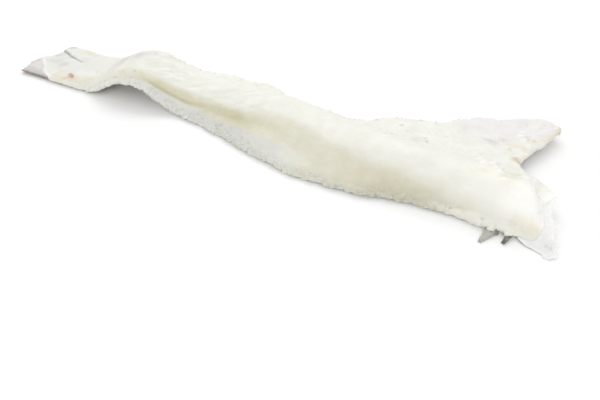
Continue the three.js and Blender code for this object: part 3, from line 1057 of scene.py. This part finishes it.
def flake_model(seed):
    """A torn leaf of flesh along +X: thin, curled, ragged at its tip, and 1 long."""
    deselect_all()
    bpy.ops.mesh.primitive_grid_add(x_subdivisions=7, y_subdivisions=5, size=1)
    leaf = bpy.context.object
    along, side = (points(leaf)[:, :2] * MM * [1, 2] + [0.5, 0]).T
    x = along * (0.85 + 0.5 * noise_at(side * 2.5, seed, 1)) - 0.08
    y = side * 0.26 * (1 - 0.5 * along + 0.5 * np.sin(along * 3))
    wavy = 0.12 * noise_at(along * 2.5, side, seed)
    z = 0.3 * along ** 2 * (1 if seed % 2 else -0.4) + wavy - 0.1 * side ** 2 - 0.03
    put_points(leaf, np.column_stack([x, y, z]) / MM)
    add(leaf, "thickness", "SOLIDIFY", thickness=0.07, offset=0)
    apply_all(leaf)
    return model_of(leaf)


def fibre_model(seed):
    """A tapering strand along +X, 1 long, extruded step by step along a bend."""
    deselect_all()
    bpy.ops.mesh.primitive_circle_add(
        vertices=5, radius=0.034, fill_type="NGON", rotation=(0, math.pi / 2, 0))
    bpy.ops.object.transform_apply(location=False, rotation=True, scale=False)
    strand = bpy.context.object
    edit_all()
    steps = 6
    for i in range(1, steps + 1):
        swing = 0.09 * math.sin(i * (0.6 + 0.35 * seed))
        lift = 0.06 * math.cos(i * (0.5 + 0.3 * seed))
        extrude((1 / steps, swing, lift))
        bpy.ops.transform.resize(value=(0.8, 0.8, 0.8))
    close_form()
    return model_of(strand)


def crystal_model(seed):
    """A worn salt crystal about 1 across: a cube with its edges bevelled and one corner cut."""
    deselect_all()
    bpy.ops.mesh.primitive_cube_add(size=1)
    crystal = bpy.context.object
    edit_all()
    bpy.ops.mesh.bevel(offset=0.1 + 0.04 * seed, segments=1)
    bpy.ops.mesh.select_all(action="SELECT")
    corner = Vector((1, 0.7 + 0.2 * seed, 0.8))
    bpy.ops.mesh.bisect(plane_co=corner * 0.36, plane_no=corner, clear_outer=True, use_fill=True)
    end_edit()
    return model_of(crystal)


def flesh_surface():
    """The flesh piece's points, the way it faces there, and its masks."""
    flesh = bpy.data.objects["flesh"]
    return points(flesh), facing(flesh), flesh_masks(flesh)


def choose(weight, count, rng):
    return rng.choice(len(weight), count, replace=False, p=weight / weight.sum())


class COD_OT_flakes(Maker, bpy.types.Operator):
    """Stick flakes of torn flesh to the flap, the shoulder and the edges"""
    bl_idname = "cod.flakes"
    bl_label = "Flakes"

    def execute(self, context):
        rng = np.random.default_rng(FLAKES_SEED)
        co, up, masks = flesh_surface()
        weight = 0.25 * masks["flap"] + 0.03 * masks["lining"] + 0.5 * masks["head"] + 0.8 * masks["rim"]
        weight += 2 * masks["knob"]
        weight *= smooth(-0.2, 0.3, up[:, 2]) * (1 - masks["tail"])
        chosen = choose(weight, context.scene.cod_sizes.flakes, rng)
        count = len(chosen)
        ahead = rng.normal(size=(count, 3)) * [1.6, 1, 0.4]
        size = rng.uniform(1.2, 2.6, (count, 1)) * np.ones(3)
        axes = axes_on(up[chosen], ahead, rng.uniform(-0.05, 0.15, count))
        models = [flake_model(seed) for seed in range(6)]
        scatter("flakes", models, co[chosen], axes, size, rng, torn_material(context.scene.cod_colours))
        return {"FINISHED"}


class COD_OT_fibres(Maker, bpy.types.Operator):
    """Fray the edges with loose fibres, thickest under the middle of the loin"""
    bl_idname = "cod.fibres"
    bl_label = "Fibres"

    def execute(self, context):
        rng = np.random.default_rng(FIBRES_SEED)
        co, up, masks = flesh_surface()
        x, y, near, far = plan_of(bpy.data.objects["flesh"])
        near_edge, far_edge = fade(0.5, 3.5, y - near), fade(0.5, 3, far - y)
        frayed = smooth(90, 118, x) * fade(164, 182, x)
        weight = near_edge * (0.15 + 1.6 * frayed) + 0.15 * far_edge + 0.2 * masks["head"] * (up[:, 0] > 0.5)
        weight *= smooth(-200, -140, x) * smooth(-0.8, -0.2, up[:, 2])
        chosen = choose(weight, context.scene.cod_sizes.fibres, rng)
        count = len(chosen)
        ahead = up[chosen] * [1, 1, 0] * 1.2 + rng.normal(size=(count, 3)) * [0.9, 0.3, 0.3] + [0.3, 0, -0.2]
        ahead /= np.linalg.norm(ahead, axis=1, keepdims=True)
        above = np.tile([0.0, 0.0, 1.0], (count, 1)) + rng.normal(size=(count, 3)) * 0.3
        size = rng.uniform(1.8, 5, (count, 1)) * np.ones(3)
        aside = np.cross(above, ahead)
        aside /= np.linalg.norm(aside, axis=1, keepdims=True)
        axes = np.stack([ahead, aside, np.cross(ahead, aside)], axis=2)
        models = [fibre_model(seed) for seed in range(5)]
        scatter("fibres", models, co[chosen] - ahead * 0.4, axes, size, rng, bpy.data.materials["torn flesh"])
        return {"FINISHED"}


class COD_OT_salt(Maker, bpy.types.Operator):
    """Scatter salt crystals, thickest along the edges and on the shoulder"""
    bl_idname = "cod.salt"
    bl_label = "Salt"

    def execute(self, context):
        sizes = context.scene.cod_sizes
        rng = np.random.default_rng(SALT_SEED)
        co, up, masks = flesh_surface()
        weight = 2.4 * masks["rim"] + 0.15 * masks["lining"] + 0.6 * masks["head"]
        weight *= smooth(-0.1, 0.3, up[:, 2]) * (1 - 0.85 * masks["tail"]) * (1 - masks["face"])
        weight *= 1 - 0.9 * masks["near"] * smooth(-175, -130, co[:, 0])
        chosen = choose(weight, sizes.crystals, rng)
        count = len(chosen)
        size = sizes.crystal / MM * np.exp(rng.normal(0, 0.3, (count, 1))) * rng.uniform(0.7, 1.1, (count, 3))
        leaning = up[chosen] + rng.normal(size=(count, 3)) * 0.4
        axes = axes_on(leaning, rng.normal(size=(count, 3)), rng.random(count))
        models = [crystal_model(seed) for seed in range(3)]
        centres = co[chosen] + up[chosen] * 0.1
        scatter("salt", models, centres, axes, size, rng, salt_material(context.scene.cod_colours))
        bpy.ops.object.shade_flat()
        return {"FINISHED"}


# ---------------------------------------------------------------- the stage

FLOOR_SIZE = 12  # metres
CAMERA_LENS, CAMERA_SENSOR = 27.8, 36  # millimetres
CAMERA_PLACE = (0.1961, -0.3183, 0.1947)  # metres
CAMERA_TURNS = (24.87, 51.54, 1.09)  # degrees: its heading, its rise from straight down, and its roll


class COD_OT_stage(Maker, bpy.types.Operator):
    """Lay the pale floor, hang the soft lights and set up the camera"""
    bl_idname = "cod.stage"
    bl_label = "Stage"

    def execute(self, context):
        settings = context.scene.cod_stage
        deselect_all()
        bpy.ops.mesh.primitive_plane_add(size=FLOOR_SIZE, location=(0, 0, 0))
        floor = context.object
        floor.name = "floor"
        material, tree, shader = new_material("pale floor", 0.1)
        cloud = put(tree, "ShaderNodeTexNoise", {"Vector": place_of(tree), "Scale": 1.5}).outputs["Fac"]
        colour = blend(tree, times(tree, cloud, 0.2), settings.floor, (1, 1, 1))
        tree.links.new(colour, shader.inputs["Base Color"])
        shader.inputs["Roughness"].default_value = 0.9
        floor.data.materials.append(material)

        world = bpy.data.worlds.new("soft room")
        world.use_nodes = True
        background = world.node_tree.nodes["Background"]
        background.inputs["Color"].default_value = (1, 1, 1, 1)
        background.inputs["Strength"].default_value = settings.room
        context.scene.world = world

        def softbox(name, place, size, power):
            light = bpy.data.lights.new(name, "AREA")
            light.shape = "RECTANGLE"
            light.size, light.size_y = size
            light.energy = power
            lamp = new_object(name, light)
            lamp.location = place
            lamp.rotation_euler = (-Vector(place)).to_track_quat("-Z", "Y").to_euler()

        softbox("back softbox", (-0.3, 1.1, 1.3), (1.6, 1.0), settings.back)
        softbox("front softbox", (0.3, -1.3, 1.0), (1.4, 1.0), settings.front)

        camera = bpy.data.cameras.new("camera")
        camera.lens = CAMERA_LENS
        camera.sensor_width = CAMERA_SENSOR
        camera.clip_start = 0.01
        seat = new_object("camera", camera)
        seat.location = CAMERA_PLACE
        turns = [Matrix.Rotation(math.radians(turn), 3, axis) for turn, axis in zip(CAMERA_TURNS, "ZXZ")]
        seat.rotation_euler = (turns[0] @ turns[1] @ turns[2]).to_euler()
        context.scene.camera = seat
        context.scene.view_settings.view_transform = "Standard"
        return {"FINISHED"}


class COD_PT_panel(bpy.types.Panel):
    """The pieces of the salted cod, in the order in which they are made"""
    bl_label = "Salted dried cod"
    bl_idname = "COD_PT_panel"
    bl_space_type = "VIEW_3D"
    bl_region_type = "UI"
    bl_category = "Salt cod"

    def draw(self, context):
        scene = context.scene
        for operator in OPERATORS:
            self.layout.operator(operator.bl_idname)
        for settings in (scene.cod_sizes, scene.cod_colours, scene.cod_stage):
            box = self.layout.box()
            for name in settings.__annotations__:
                box.prop(settings, name)


OPERATORS = (
    COD_OT_flesh, COD_OT_skin, COD_OT_tail_fin, COD_OT_fin_stubs, COD_OT_film, COD_OT_flakes, COD_OT_fibres,
    COD_OT_salt, COD_OT_stage,
)
CLASSES = (CodSizes, CodColours, CodStage, *OPERATORS, COD_PT_panel)


def register():
    for cls in CLASSES:
        bpy.utils.register_class(cls)
    bpy.types.Scene.cod_sizes = bpy.props.PointerProperty(type=CodSizes)
    bpy.types.Scene.cod_colours = bpy.props.PointerProperty(type=CodColours)
    bpy.types.Scene.cod_stage = bpy.props.PointerProperty(type=CodStage)


def unregister():
    del bpy.types.Scene.cod_sizes
    del bpy.types.Scene.cod_colours
    del bpy.types.Scene.cod_stage
    for cls in reversed(CLASSES):
        bpy.utils.unregister_class(cls)


def main():
    register()
    bpy.ops.cod.flesh()
    bpy.ops.cod.skin()
    bpy.ops.cod.tail_fin()
    bpy.ops.cod.fin_stubs()
    bpy.ops.cod.film()
    bpy.ops.cod.flakes()
    bpy.ops.cod.fibres()
    bpy.ops.cod.salt()
    bpy.ops.cod.stage()


if __name__ == "__main__":
    main()
